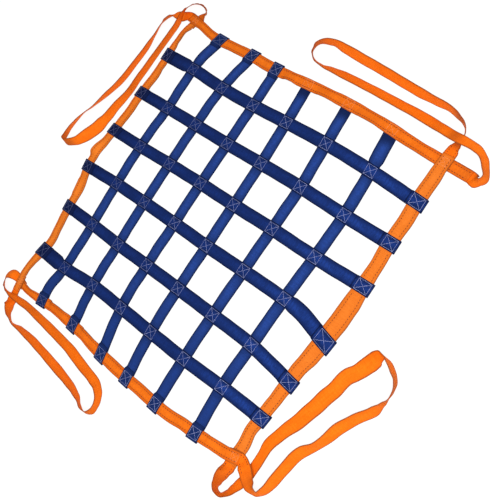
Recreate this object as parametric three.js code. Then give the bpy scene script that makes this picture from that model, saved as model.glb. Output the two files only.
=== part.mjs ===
// Cargo lifting net of flat webbing, laid out on the floor.
// Six blue row straps lie over six blue column straps. Their ends wrap round a doubled orange border,
// and at each corner the border's orange strap runs on into a long lifting loop.
// Millimetres, +Z up, floor at z = 0.
import * as THREE from 'three';

// Webbing sizes
const BLUE_WIDTH = 54;
const BLUE_THICK = 2.2;
const BLUE_HALF = BLUE_WIDTH / 2;
const LOOP_THICK = 2.6;
const COVER_THICK = 2;
const GAP = 0.3;
const BORDER_THICK = LOOP_THICK + GAP + COVER_THICK;

// Heights of one strap lying over another
const ROW_RISE = BLUE_THICK + GAP;
const CORNER_RISE = BORDER_THICK + GAP;
const REST_HALF = 45;
const REST_EASE = 42;

// A border band lies flat under a strap end, and may lean from some way beside it
const LEAN_HALF = 45;
const LEAN_EASE = 26;

// Wrapped strap ends: turn round the border's outer edge, flap back over its inner edge
const TURN_CLEAR = 2;
const TURN_STEPS = 6;
const FLAP_DROP_START = 4;
const FLAP_DROP_END = 11;
const FLAP_END = 13;
const TUCK_SHORT = 6;
const END_BLEND = 60;

// A strap that lies wider at an end narrows again towards the nearest crossing
const WIDE_CLEAR = 25;
const WIDE_EASE = 20;

// Border corners: the loop's end lies under the cover layer, from inside the crossing to the cut end
const LAP_INSIDE = 32;
const LAP_STEP = 0.4;
const LAP_CLEAR = 9;

// Sampling steps along the straps
const STRAP_STEPS = 8;
const BORDER_STEP = 14;
const LOOP_STEP = 19;
const ROUTE_PLACES = 600;

// The middle of the whole net with its loops, in the net's own layout
const MIDDLE = { x: 75.8, y: -30.2 };

// Row straps, top to bottom: y at the left border, at each column strap and at the right border.
// startBend and bend: places where a strap bows before its first and its last end.
// startWidth and endWidth: how wide it lies from an end to the nearest crossing, if not as usual.
const ROWS = [
  {
    left: 511, columns: [509, 494.5, 490.5, 492, 491, 479], right: 459,
    startWidth: 62,
  },
  { left: 306, columns: [305, 303, 300, 299.5, 297, 288.5], right: 284 },
  { left: 99, columns: [99, 102.5, 103.5, 102, 103.5, 100], right: 104 },
  {
    left: -104, columns: [-95, -92.5, -92.5, -94, -91.5, -91], right: -132,
    bend: { x: 600, y: -96 }, endWidth: 62,
  },
  { left: -303, columns: [-302, -304, -300.5, -299, -299, -301], right: -325 },
  {
    left: -527, columns: [-527, -508, -505, -504.5, -502, -492], right: -488,
    startWidth: 66,
  },
];

// Column straps, left to right: x at the top border, at each row strap and at the bottom border.
// The tucked ones end under the top border, all other ends wrap round it.
const COLUMNS = [
  {
    top: -442, rows: [-482, -481.5, -491, -485, -472.5, -467.5], bottom: -468, tucked: false,
    startBend: { x: -475, y: 576 }, bend: { x: -481, y: -645 }, startWidth: 59, endWidth: 58,
  },
  { top: -245, rows: [-287, -297, -298.5, -296.5, -289, -280.5], bottom: -249, tucked: false },
  { top: -99, rows: [-99, -100.5, -102.5, -100.5, -100, -89.5], bottom: -42, tucked: false },
  { top: 75, rows: [86, 93, 94, 95, 94.5, 101.5], bottom: 127, tucked: true },
  { top: 284, rows: [295, 307, 305, 301.5, 297.5, 297.5], bottom: 305, tucked: true },
  {
    top: 502, rows: [520, 530.5, 525.5, 515.5, 509, 504], bottom: 518, tucked: true,
    startWidth: 62,
  },
];

// Border bands, clockwise round the net. Each starts on top of the band before it and ends under the
// next one. pastStart and pastEnd: how far each cut end of the cover reaches beyond its crossing.
// Sections: place of the centre line, lean of the band (left edge raised, degrees) and its width there.
const BORDERS = [
  {
    name: 'border_top', pastStart: 40, pastEnd: 108,
    sections: [
      { x: -622, y: 705, lean: 0, width: 42 },
      { x: -575, y: 697, lean: -6, width: 39 },
      { x: -510, y: 682, lean: -8, width: 40 },
      { x: -442, y: 673, lean: 0, width: 45 },
      { x: -345, y: 673, lean: -6, width: 46 },
      { x: -245, y: 672, lean: 0, width: 47 },
      { x: -165, y: 667, lean: 0, width: 50 },
      { x: -99, y: 664, lean: 0, width: 48 },
      { x: -12, y: 666, lean: -18, width: 47 },
      { x: 75, y: 668, lean: 0, width: 47 },
      { x: 178, y: 669, lean: -14, width: 47 },
      { x: 284, y: 667, lean: 0, width: 48 },
      { x: 410, y: 660, lean: -14, width: 47 },
      { x: 502, y: 652, lean: 0, width: 48 },
      { x: 574, y: 643, lean: -6, width: 48 },
      { x: 640, y: 636, lean: -10, width: 47 },
      { x: 747, y: 629, lean: 0, width: 47 },
    ],
  },
  {
    name: 'border_right', pastStart: 30, pastEnd: 30,
    sections: [
      { x: 747, y: 629, lean: 0, width: 52 },
      { x: 744, y: 555, lean: 0, width: 59 },
      { x: 743, y: 459, lean: 0, width: 60 },
      { x: 746, y: 385, lean: 0, width: 61 },
      { x: 744, y: 284, lean: 0, width: 58 },
      { x: 749, y: 190, lean: 0, width: 56 },
      { x: 750, y: 104, lean: 0, width: 62 },
      { x: 750, y: 20, lean: 0, width: 75 },
      { x: 747, y: -60, lean: 0, width: 77 },
      { x: 741, y: -132, lean: 0, width: 74 },
      { x: 734, y: -197, lean: 0, width: 71 },
      { x: 722, y: -262, lean: 0, width: 62 },
      { x: 718, y: -325, lean: 0, width: 58 },
      { x: 711, y: -410, lean: 0, width: 54 },
      { x: 705, y: -488, lean: 0, width: 52 },
      { x: 699, y: -550, lean: 0, width: 50 },
      { x: 707, y: -605, lean: 0, width: 53 },
      { x: 705, y: -655, lean: 0, width: 53 },
    ],
  },
  {
    name: 'border_bottom', pastStart: 21, pastEnd: 20,
    sections: [
      { x: 705, y: -655, lean: 0, width: 48 },
      { x: 650, y: -668, lean: -4, width: 48 },
      { x: 590, y: -676, lean: -10, width: 48 },
      { x: 518, y: -687, lean: 0, width: 48 },
      { x: 455, y: -692, lean: -4, width: 48 },
      { x: 380, y: -704, lean: 0, width: 49 },
      { x: 305, y: -706, lean: 0, width: 49 },
      { x: 205, y: -706, lean: 0, width: 50 },
      { x: 127, y: -707, lean: 0, width: 50 },
      { x: 40, y: -706, lean: 4, width: 50 },
      { x: -42, y: -704, lean: 0, width: 49 },
      { x: -110, y: -700, lean: -8, width: 49 },
      { x: -175, y: -693, lean: -14, width: 48 },
      { x: -249, y: -692, lean: 0, width: 47 },
      { x: -345, y: -692, lean: -20, width: 46 },
      { x: -405, y: -694, lean: -24, width: 45 },
      { x: -468, y: -701, lean: 0, width: 44 },
      { x: -520, y: -708, lean: -6, width: 36 },
      { x: -560, y: -712, lean: -10, width: 31 },
      { x: -598, y: -711, lean: -8, width: 31 },
      { x: -638, y: -704, lean: 0, width: 40 },
    ],
  },
  {
    name: 'border_left', pastStart: 44, pastEnd: 14,
    sections: [
      { x: -638, y: -704, lean: 0, width: 42 },
      { x: -650, y: -640, lean: -4, width: 39 },
      { x: -645, y: -600, lean: -4, width: 43 },
      { x: -627, y: -527, lean: 0, width: 47 },
      { x: -618, y: -475, lean: 0, width: 47 },
      { x: -629, y: -410, lean: -3, width: 47 },
      { x: -644, y: -303, lean: 0, width: 47 },
      { x: -652, y: -205, lean: 14, width: 47 },
      { x: -684, y: -104, lean: 0, width: 47 },
      { x: -687, y: -25, lean: 32, width: 47 },
      { x: -680, y: 45, lean: 2, width: 47 },
      { x: -672, y: 99, lean: 0, width: 47 },
      { x: -664, y: 190, lean: 0, width: 47 },
      { x: -658, y: 306, lean: 0, width: 47 },
      { x: -652, y: 400, lean: 0, width: 47 },
      { x: -650, y: 455, lean: -6, width: 44 },
      { x: -651, y: 511, lean: 0, width: 40 },
      { x: -652, y: 590, lean: -12, width: 35 },
      { x: -648, y: 645, lean: -13, width: 34 },
      { x: -622, y: 705, lean: 0, width: 40 },
    ],
  },
];

// Lifting loops. Sections along the strap: place of its middle on the floor, lean of its width
// (0, 180 or 360 flat, 90 or 270 on its edge, the left edge up below 180), lift of its lowest edge and width.
const LOOPS = [
  {
    name: 'loop_top_right',
    sections: [
      { x: 880, y: 613, lean: 34, lift: 0, width: 50 },
      { x: 902, y: 617, lean: 81, lift: 0, width: 50 },
      { x: 911, y: 636, lean: 76, lift: 0, width: 50 },
      { x: 889, y: 671, lean: 66, lift: 0, width: 50 },
      { x: 861, y: 701, lean: 58, lift: 0, width: 50 },
      { x: 827, y: 713, lean: 41, lift: 25, width: 50 },
      { x: 767, y: 712, lean: 30, lift: 47, width: 50 },
      { x: 703, y: 720, lean: 31, lift: 34, width: 50 },
      { x: 609, y: 736, lean: 28, lift: 8, width: 50 },
      { x: 407, y: 751, lean: 34, lift: 0, width: 50 },
      { x: 209, y: 759, lean: 38, lift: 0, width: 50 },
      { x: 131, y: 758, lean: 50, lift: 0, width: 50 },
      { x: 73, y: 758, lean: 71, lift: 0, width: 50 },
      { x: 33, y: 773, lean: 98, lift: 0, width: 50 },
      { x: 12, y: 800, lean: 116, lift: 0, width: 50 },
      { x: 14, y: 829, lean: 110, lift: 0, width: 50 },
      { x: 65, y: 856, lean: 83, lift: 0, width: 50 },
      { x: 133, y: 855, lean: 61, lift: 0, width: 50 },
      { x: 211, y: 848, lean: 55, lift: 0, width: 50 },
      { x: 410, y: 828, lean: 58, lift: 0, width: 50 },
      { x: 509, y: 817, lean: 59, lift: 0, width: 50 },
      { x: 590, y: 811, lean: 71, lift: 0, width: 50 },
      { x: 650, y: 808, lean: 77, lift: 0, width: 50 },
      { x: 690, y: 798, lean: 76, lift: 0, width: 50 },
      { x: 720, y: 786, lean: 82, lift: 0, width: 50 },
      { x: 741, y: 773, lean: 80, lift: 0, width: 50 },
      { x: 754, y: 756, lean: 75, lift: 0, width: 50 },
      { x: 760, y: 737, lean: 67, lift: 0, width: 50 },
      { x: 759, y: 716, lean: 52, lift: 0, width: 50 },
      { x: 753, y: 697, lean: 28, lift: 0, width: 50 },
      { x: 748, y: 681, lean: 8, lift: 2, width: 50 },
    ],
  },
  {
    name: 'loop_bottom_right',
    sections: [
      { x: 708, y: -726, lean: 130, lift: 0, width: 56 },
      { x: 712, y: -759, lean: 102, lift: 0, width: 56 },
      { x: 716, y: -779, lean: 84, lift: 0, width: 56 },
      { x: 733, y: -786, lean: 88, lift: 0, width: 56 },
      { x: 756, y: -773, lean: 117, lift: 0, width: 56 },
      { x: 771, y: -744, lean: 140, lift: 0, width: 50 },
      { x: 781, y: -709, lean: 162, lift: 0, width: 46 },
      { x: 787, y: -671, lean: 170, lift: 0, width: 44 },
      { x: 789, y: -631, lean: 168, lift: 0, width: 44 },
      { x: 789, y: -587, lean: 160, lift: 0, width: 47 },
      { x: 790, y: -535, lean: 162, lift: 0, width: 54 },
      { x: 843, y: -369, lean: 175, lift: 0, width: 60 },
      { x: 860, y: -301, lean: 180, lift: 0, width: 63 },
      { x: 872, y: -256, lean: 184, lift: 0, width: 60 },
      { x: 880, y: -215, lean: 186, lift: 0, width: 58 },
      { x: 889, y: -184, lean: 184, lift: 0, width: 58 },
      { x: 905, y: -158, lean: 180, lift: 0, width: 58 },
      { x: 920, y: -130, lean: 180, lift: 0, width: 63 },
      { x: 930, y: -106, lean: 184, lift: 0, width: 64 },
      { x: 937, y: -86, lean: 198, lift: 0, width: 61 },
      { x: 947, y: -66, lean: 230, lift: 0, width: 58 },
      { x: 966, y: -56, lean: 266, lift: 0, width: 56 },
      { x: 990, y: -65, lean: 277, lift: 0, width: 56 },
      { x: 1018, y: -83, lean: 277, lift: 0, width: 56 },
      { x: 1043, y: -104, lean: 269, lift: 0, width: 56 },
      { x: 1055, y: -135, lean: 260, lift: 0, width: 56 },
      { x: 1056, y: -164, lean: 256, lift: 0, width: 56 },
      { x: 1050, y: -191, lean: 273, lift: 0, width: 56 },
      { x: 1036, y: -229, lean: 297, lift: 0, width: 56 },
      { x: 999, y: -289, lean: 300, lift: 0, width: 56 },
      { x: 972, y: -342, lean: 308, lift: 0, width: 56 },
      { x: 940, y: -437, lean: 290, lift: 0, width: 56 },
      { x: 909, y: -484, lean: 305, lift: 0, width: 56 },
      { x: 892, y: -549, lean: 301, lift: 0, width: 56 },
      { x: 884, y: -615, lean: 297, lift: 0, width: 56 },
      { x: 877, y: -663, lean: 288, lift: 0, width: 56 },
      { x: 867, y: -689, lean: 282, lift: 2, width: 56 },
      { x: 846, y: -697, lean: 304, lift: 9, width: 56 },
      { x: 817, y: -690, lean: 340, lift: 20, width: 56 },
      { x: 793, y: -677, lean: 353, lift: 21, width: 56 },
      { x: 765, y: -659, lean: 356, lift: 16, width: 56 },
    ],
  },
  {
    name: 'loop_bottom_left',
    sections: [
      { x: -706, y: -703, lean: 26, lift: 0, width: 50 },
      { x: -718, y: -723, lean: 29, lift: 0, width: 50 },
      { x: -710, y: -744, lean: 47, lift: 0, width: 50 },
      { x: -694, y: -761, lean: 53, lift: 1, width: 50 },
      { x: -661, y: -766, lean: 68, lift: 8, width: 50 },
      { x: -628, y: -765, lean: 91, lift: 13, width: 50 },
      { x: -596, y: -764, lean: 108, lift: 13, width: 50 },
      { x: -533, y: -762, lean: 118, lift: 5, width: 50 },
      { x: -481, y: -760, lean: 114, lift: 0, width: 50 },
      { x: -284, y: -766, lean: 124, lift: 0, width: 50 },
      { x: -185, y: -771, lean: 125, lift: 0, width: 50 },
      { x: -88, y: -786, lean: 127, lift: 0, width: 50 },
      { x: 14, y: -799, lean: 120, lift: 0, width: 50 },
      { x: 55, y: -814, lean: 100, lift: 0, width: 50 },
      { x: 83, y: -844, lean: 86, lift: 0, width: 50 },
      { x: 92, y: -872, lean: 84, lift: 0, width: 50 },
      { x: 84, y: -906, lean: 97, lift: 0, width: 50 },
      { x: 48, y: -920, lean: 107, lift: 0, width: 50 },
      { x: 15, y: -908, lean: 110, lift: 0, width: 50 },
      { x: -25, y: -890, lean: 88, lift: 0, width: 50 },
      { x: -84, y: -878, lean: 72, lift: 0, width: 50 },
      { x: -184, y: -868, lean: 62, lift: 0, width: 50 },
      { x: -382, y: -854, lean: 67, lift: 0, width: 50 },
      { x: -482, y: -855, lean: 79, lift: 0, width: 50 },
      { x: -544, y: -858, lean: 113, lift: 0, width: 50 },
      { x: -576, y: -843, lean: 104, lift: 0, width: 50 },
      { x: -596, y: -814, lean: 82, lift: 0, width: 50 },
      { x: -620, y: -787, lean: 12, lift: 0, width: 50 },
    ],
  },
  {
    name: 'loop_top_left',
    sections: [
      { x: -601, y: 736, lean: 180, lift: 0, width: 42 },
      { x: -584, y: 751, lean: 130, lift: 0, width: 50 },
      { x: -598, y: 766, lean: 104, lift: 0, width: 50 },
      { x: -627, y: 774, lean: 78, lift: 0, width: 50 },
      { x: -658, y: 772, lean: 61, lift: 0, width: 50 },
      { x: -687, y: 759, lean: 47, lift: 0, width: 50 },
      { x: -696, y: 737, lean: 44, lift: 6, width: 50 },
      { x: -692, y: 713, lean: 56, lift: 12, width: 50 },
      { x: -687, y: 687, lean: 71, lift: 13, width: 50 },
      { x: -683, y: 667, lean: 76, lift: 10, width: 50 },
      { x: -690, y: 625, lean: 75, lift: 1, width: 50 },
      { x: -696, y: 540, lean: 75, lift: 0, width: 50 },
      { x: -702, y: 416, lean: 78, lift: 0, width: 50 },
      { x: -706, y: 346, lean: 80, lift: 0, width: 50 },
      { x: -707, y: 277, lean: 82, lift: 0, width: 50 },
      { x: -725, y: 198, lean: 93, lift: 0, width: 50 },
      { x: -736, y: 128, lean: 105, lift: 0, width: 50 },
      { x: -754, y: 70, lean: 135, lift: 0, width: 55 },
      { x: -781, y: 18, lean: 136, lift: 0, width: 55 },
      { x: -813, y: -33, lean: 114, lift: 0, width: 50 },
      { x: -846, y: -58, lean: 107, lift: 0, width: 50 },
      { x: -876, y: -71, lean: 104, lift: 0, width: 50 },
      { x: -894, y: -64, lean: 106, lift: 0, width: 50 },
      { x: -898, y: -38, lean: 112, lift: 0, width: 50 },
      { x: -900, y: 0, lean: 117, lift: 0, width: 50 },
      { x: -894, y: 40, lean: 122, lift: 0, width: 50 },
      { x: -882, y: 89, lean: 131, lift: 0, width: 50 },
      { x: -859, y: 127, lean: 128, lift: 0, width: 50 },
      { x: -812, y: 238, lean: 109, lift: 0, width: 50 },
      { x: -789, y: 306, lean: 104, lift: 0, width: 50 },
      { x: -776, y: 426, lean: 107, lift: 0, width: 50 },
      { x: -770, y: 495, lean: 109, lift: 0, width: 50 },
      { x: -776, y: 575, lean: 126, lift: 0, width: 50 },
      { x: -781, y: 625, lean: 133, lift: 0, width: 50 },
      { x: -774, y: 650, lean: 124, lift: 0, width: 50 },
      { x: -755, y: 677, lean: 120, lift: 0, width: 50 },
      { x: -737, y: 693, lean: 156, lift: 0, width: 50 },
      { x: -706, y: 700, lean: 180, lift: 3, width: 50 },
    ],
  },
];

const BLUE = new THREE.MeshStandardMaterial({ color: 0x1d3580, roughness: 0.75, metalness: 0 });
const ORANGE = new THREE.MeshStandardMaterial({ color: 0xf2690f, roughness: 0.7, metalness: 0 });
const UP = new THREE.Vector3(0, 0, 1);

// Smooth step from 0 to 1
function ease(t) {
  const c = THREE.MathUtils.clamp(t, 0, 1);
  return c * c * (3 - 2 * c);
}

// How far a strap is held up by another one that it lies over: 1 on it, 0 away from it
function held(distance) {
  return ease((REST_HALF + REST_EASE - Math.abs(distance)) / REST_EASE);
}

// How far a border band is kept flat by a strap end round it: 1 at it, 0 away from it
function gripped(distance) {
  return ease((LEAN_HALF + LEAN_EASE - distance) / LEAN_EASE);
}

// Level vector to the left of a direction of travel
function leftOf(direction) {
  return new THREE.Vector3(-direction.y, direction.x, 0).normalize();
}

// One section of a band: centre, half width vector, half thickness vector, and how much of the lower
// layer is left out
function section(centre, across, up, cut = 0) {
  return { centre, across, up, cut };
}

// Closed solid through a row of sections with square corners
function loft(sections) {
  const positions = [];
  const indices = [];
  sections.forEach(({ centre, across, up, cut }) => {
    const low = up.clone().multiplyScalar(-1).addScaledVector(up.clone().normalize(), cut);
    const corners = [
      centre.clone().sub(across).add(low),
      centre.clone().add(across).add(low),
      centre.clone().add(across).add(up),
      centre.clone().sub(across).add(up),
    ];
    corners.forEach((c) => positions.push(c.x, c.y, c.z));
  });
  for (let i = 0; i + 1 < sections.length; i += 1) {
    for (let k = 0; k < 4; k += 1) {
      const a = 4 * i + k;
      const b = 4 * i + ((k + 1) % 4);
      indices.push(a, b, a + 4, b, b + 4, a + 4);
    }
  }
  const last = 4 * (sections.length - 1);
  indices.push(0, 2, 1, 0, 3, 2);
  indices.push(last, last + 1, last + 2, last, last + 2, last + 3);
  const geometry = new THREE.BufferGeometry();
  geometry.setAttribute('position', new THREE.Float32BufferAttribute(positions, 3));
  geometry.setIndex(indices);
  geometry.computeVertexNormals();
  return geometry;
}

// Section of a leaning band whose lowest edge is at a given lift
function leaningSection(place, direction, lean, lift, half, thick, cut = 0) {
  const angle = THREE.MathUtils.degToRad(lean);
  const left = leftOf(direction);
  const width = left.clone().multiplyScalar(Math.cos(angle)).addScaledVector(UP, Math.sin(angle));
  const normal = left.clone().multiplyScalar(-Math.sin(angle)).addScaledVector(UP, Math.cos(angle));
  const height = lift + half * Math.abs(Math.sin(angle)) + (thick / 2) * Math.abs(Math.cos(angle));
  const centre = new THREE.Vector3(place.x, place.y, height);
  return section(centre, width.multiplyScalar(half), normal.multiplyScalar(thick / 2), cut);
}

// Smooth floor curve through a table of places
function floorCurve(places) {
  const points = places.map((p) => new THREE.Vector3(p.x, p.y, 0));
  return new THREE.CatmullRomCurve3(points, false, 'centripetal');
}

// A border band's centre line, and the place on it that has a given x or y
function borderRoute(border) {
  const curve = floorCurve(border.sections);
  const place = (axis, value) => {
    let near = 0;
    let best = Infinity;
    for (let i = 0; i <= ROUTE_PLACES; i += 1) {
      const miss = Math.abs(curve.getPoint(i / ROUTE_PLACES)[axis] - value);
      if (miss < best) {
        best = miss;
        near = i / ROUTE_PLACES;
      }
    }
    const half = between(border.sections, 'width', near) / 2;
    return { point: curve.getPoint(near), along: curve.getTangent(near), half };
  };
  return { curve, place };
}

const ROUTES = Object.fromEntries(BORDERS.map((b) => [b.name, borderRoute(b)]));

// Places where straps pass under a border band
function strapEnds(borderName) {
  const { place } = ROUTES[borderName];
  const tables = {
    border_top: COLUMNS.map((c) => place('x', c.top)),
    border_bottom: COLUMNS.map((c) => place('x', c.bottom)),
    border_left: ROWS.map((r) => place('y', r.left)),
    border_right: ROWS.map((r) => place('y', r.right)),
  };
  return tables[borderName];
}

// A strap's sections near one end, from the border's edge to the cut end.
// The fold runs along the border's edge, so the sections there slant with it.
function strapEnd(end, outward, tucked, width) {
  const side = leftOf(outward);
  const edgeNormal = leftOf(end.along);
  const facing = Math.abs(edgeNormal.dot(outward));
  const slant = end.along.clone().multiplyScalar(width / 2 / end.along.dot(side));
  const edge = end.half / facing;
  const flat = UP.clone().multiplyScalar(BLUE_THICK / 2);
  const at = (reach, height) => end.point.clone().addScaledVector(outward, reach).setZ(height);
  const low = BLUE_THICK / 2;
  if (tucked) {
    return { slant, sections: [section(at(edge - TUCK_SHORT, low), slant, flat)] };
  }
  const turnReach = edge + TURN_CLEAR;
  const high = ROW_RISE + BORDER_THICK + GAP + BLUE_THICK / 2;
  const radius = (high - low) / 2;
  const sections = [];
  for (let i = 0; i <= TURN_STEPS; i += 1) {
    const angle = Math.PI * (i / TURN_STEPS - 0.5);
    const radial = outward.clone().multiplyScalar(Math.cos(angle)).addScaledVector(UP, Math.sin(angle));
    const centre = at(turnReach, low + radius).addScaledVector(radial, radius);
    sections.push(section(centre, slant, radial.clone().multiplyScalar(-BLUE_THICK / 2)));
  }
  const over = flat.clone().negate();
  const landed = ROW_RISE + BLUE_THICK / 2;
  sections.push(section(at(0, high), slant, over));
  sections.push(section(at(-edge - FLAP_DROP_START, high), slant, over));
  sections.push(section(at(-edge - FLAP_DROP_END, landed), slant, over));
  sections.push(section(at(-edge - FLAP_END, landed), slant, over));
  return { slant, sections };
}

// How much each half of a strap is widened at a place beyond the crossing nearest to an end
function widening(place, end, crossing, width) {
  const outward = end.clone().sub(crossing).setZ(0).normalize();
  const beyond = place.clone().sub(crossing).dot(outward);
  return (width / 2 - BLUE_HALF) * ease((beyond - WIDE_CLEAR) / WIDE_EASE);
}

// A list with a place in it, or an empty one where there is none
function placeList(place) {
  return place ? [new THREE.Vector3(place.x, place.y, 0)] : [];
}

// Blue strap from one border to another, past its crossings, which it lies over by a given rise
function blueStrap(strap, start, crossings, finish, overRise) {
  const path = [...placeList(strap.startBend), ...crossings, ...placeList(strap.bend)];
  const startOut = start.point.clone().sub(path[0]).setZ(0).normalize();
  const finishOut = finish.point.clone().sub(path[path.length - 1]).setZ(0).normalize();
  const { startWidth = BLUE_WIDTH, endWidth = BLUE_WIDTH } = strap;
  const head = strapEnd(start, startOut, strap.tucked, startWidth);
  const tail = strapEnd(finish, finishOut, false, endWidth);
  const startPlace = head.sections[0].centre.clone();
  const finishPlace = tail.sections[0].centre.clone();
  const curve = floorCurve([startPlace, start.point, ...path, finish.point, finishPlace]);
  const count = STRAP_STEPS * (crossings.length + 1);
  const run = [];
  for (let i = 1; i < count; i += 1) {
    const place = curve.getPointAt(i / count);
    const direction = curve.getTangentAt(i / count);
    const lift = overRise * Math.max(...crossings.map((c) => held(place.distanceTo(c))));
    const half = BLUE_HALF
      + widening(place, start.point, crossings[0], startWidth)
      + widening(place, finish.point, crossings[crossings.length - 1], endWidth);
    const across = leftOf(direction).multiplyScalar(half);
    const fromStart = place.distanceTo(startPlace.clone().setZ(0));
    const fromFinish = place.distanceTo(finishPlace.clone().setZ(0));
    const startSlant = head.slant.clone().multiplyScalar(Math.sign(head.slant.dot(across)));
    const finishSlant = tail.slant.clone().multiplyScalar(Math.sign(tail.slant.dot(across)));
    across.lerp(startSlant, 1 - ease(fromStart / END_BLEND));
    across.lerp(finishSlant, 1 - ease(fromFinish / END_BLEND));
    const centre = place.setZ(lift + BLUE_THICK / 2);
    run.push(section(centre, across, UP.clone().multiplyScalar(BLUE_THICK / 2)));
  }
  const turned = (s, across) => section(s.centre, s.across.clone().multiplyScalar(
    Math.sign(s.across.dot(across))), s.up, s.cut);
  const first = head.sections.map((s) => turned(s, run[0].across)).reverse();
  const last = tail.sections.map((s) => turned(s, run[run.length - 1].across));
  return loft([...first, ...run, ...last]);
}

// Points where rows cross columns
const CROSSINGS = ROWS.map((row, r) => COLUMNS.map((column, c) => (
  new THREE.Vector3(column.rows[r], row.columns[c], 0))));

function rowStrap(index) {
  const row = ROWS[index];
  const start = ROUTES.border_left.place('y', row.left);
  const finish = ROUTES.border_right.place('y', row.right);
  return blueStrap(row, start, CROSSINGS[index], finish, ROW_RISE);
}

function columnStrap(index) {
  const column = COLUMNS[index];
  const start = ROUTES.border_top.place('x', column.top);
  const finish = ROUTES.border_bottom.place('x', column.bottom);
  const crossings = CROSSINGS.map((row) => row[index]);
  return blueStrap(column, start, crossings, finish, 0);
}

// A column's value between two rows of a table, eased so that it never overshoots
function between(sections, key, t) {
  const scaled = t * (sections.length - 1);
  const i = Math.min(Math.floor(scaled), sections.length - 2);
  return THREE.MathUtils.lerp(sections[i][key], sections[i + 1][key], ease(scaled - i));
}

// Straight run past a corner, along the band's own direction there
function beyond(curve, t, reach) {
  const outward = curve.getTangent(t).multiplyScalar(t === 0 ? -1 : 1);
  return curve.getPoint(t).addScaledVector(outward, reach);
}

// Doubled border band. Near each cut end only the cover layer is left, over the loop's end.
function borderBand(border) {
  const { curve } = ROUTES[border.name];
  const ends = strapEnds(border.name);
  const corner = curve.getPoint(0);
  const direction = curve.getTangent(0);
  const outDirection = curve.getTangent(1);
  const farCorner = curve.getPoint(1);
  const nearCorner = (place, c) => held(place.distanceTo(c) + REST_HALF - LAP_INSIDE);
  const nearStrap = (place) => Math.max(...ends.map((e) => held(place.distanceTo(e.point))));
  const height = (place) => Math.max(CORNER_RISE * nearCorner(place, corner), ROW_RISE * nearStrap(place));
  const free = (place) => 1 - Math.max(
    nearCorner(place, corner),
    nearCorner(place, farCorner),
    ...ends.map((e) => gripped(place.distanceTo(e.point))),
  );
  const startHalf = border.sections[0].width / 2;
  const endHalf = border.sections[border.sections.length - 1].width / 2;
  const make = (place, along, lean, lift, half, cut) => (
    leaningSection(place, along, lean, lift, half, BORDER_THICK, cut));
  const cover = LOOP_THICK + GAP;
  const length = curve.getLength();
  const startStep = LAP_INSIDE / length;
  const finishStep = 1 - LAP_INSIDE / length;
  const nudge = LAP_STEP / length;
  const sections = [make(beyond(curve, 0, border.pastStart), direction, 0, CORNER_RISE, startHalf, cover)];
  sections.push(make(corner, direction, 0, CORNER_RISE, startHalf, cover));
  sections.push(make(curve.getPointAt(startStep), direction, 0, CORNER_RISE, startHalf, cover));
  const count = Math.round(length / BORDER_STEP);
  for (let i = 0; i <= count; i += 1) {
    const s = startStep + nudge + (finishStep - startStep - 2 * nudge) * (i / count);
    const t = curve.getUtoTmapping(s);
    const place = curve.getPoint(t);
    const lean = between(border.sections, 'lean', t) * free(place);
    const half = between(border.sections, 'width', t) / 2;
    sections.push(make(place, curve.getTangent(t), lean, height(place), half, 0));
  }
  sections.push(make(curve.getPointAt(finishStep), outDirection, 0, 0, endHalf, cover));
  sections.push(make(curve.getPoint(1), outDirection, 0, 0, endHalf, cover));
  sections.push(make(beyond(curve, 1, border.pastEnd), outDirection, 0, 0, endHalf, cover));
  return loft(sections);
}

// Lifting loop from under the cut end of one band to under the start of the next
function liftingLoop(loop, before, after) {
  const inRoute = ROUTES[before.name].curve;
  const outRoute = ROUTES[after.name].curve;
  const firstLean = Math.round(loop.sections[0].lean / 180) * 180;
  const lastLean = Math.round(loop.sections[loop.sections.length - 1].lean / 180) * 180;
  const firstWidth = before.sections[before.sections.length - 1].width;
  const lastWidth = after.sections[0].width;
  const hidden = LAP_INSIDE - 2 * LAP_STEP;
  const lap = (point, lean, lift, width) => ({ x: point.x, y: point.y, lean, lift, width });
  const table = [
    lap(beyond(inRoute, 1, -hidden), firstLean, 0, firstWidth),
    lap(beyond(inRoute, 1, before.pastEnd + LAP_CLEAR), firstLean, 0, firstWidth),
    ...loop.sections,
    lap(beyond(outRoute, 0, after.pastStart + LAP_CLEAR), lastLean, CORNER_RISE, lastWidth),
    lap(beyond(outRoute, 0, -hidden), lastLean, CORNER_RISE, lastWidth),
  ];
  const curve = floorCurve(table);
  const sections = [];
  const spans = table.length - 1;
  for (let k = 0; k < spans; k += 1) {
    const from = new THREE.Vector2(table[k].x, table[k].y);
    const reach = from.distanceTo(new THREE.Vector2(table[k + 1].x, table[k + 1].y));
    const steps = Math.max(2, Math.round(reach / LOOP_STEP));
    for (let i = 0; i < steps; i += 1) {
      const t = (k + i / steps) / spans;
      const lean = between(table, 'lean', t);
      const lift = between(table, 'lift', t);
      const half = between(table, 'width', t) / 2;
      sections.push(leaningSection(curve.getPoint(t), curve.getTangent(t), lean, lift, half, LOOP_THICK));
    }
  }
  const end = curve.getPoint(1);
  sections.push(leaningSection(end, curve.getTangent(1), lastLean, CORNER_RISE, lastWidth / 2, LOOP_THICK));
  return loft(sections);
}

const net = new THREE.Group();
net.position.set(-MIDDLE.x, -MIDDLE.y, 0);

function add(name, geometry, material) {
  const mesh = new THREE.Mesh(geometry, material.clone());
  mesh.name = name;
  net.add(mesh);
}

ROWS.forEach((row, i) => add(`row_${i + 1}`, rowStrap(i), BLUE));
COLUMNS.forEach((column, i) => add(`column_${i + 1}`, columnStrap(i), BLUE));
BORDERS.forEach((border) => add(border.name, borderBand(border), ORANGE));
LOOPS.forEach((loop, i) => {
  const after = BORDERS[(i + 1) % BORDERS.length];
  add(loop.name, liftingLoop(loop, BORDERS[i], after), ORANGE);
});

const group = new THREE.Group();
group.add(net);
group.updateMatrixWorld(true);

export default group;
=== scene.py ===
import math

import bpy
import numpy as np
from mathutils import Matrix


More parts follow.
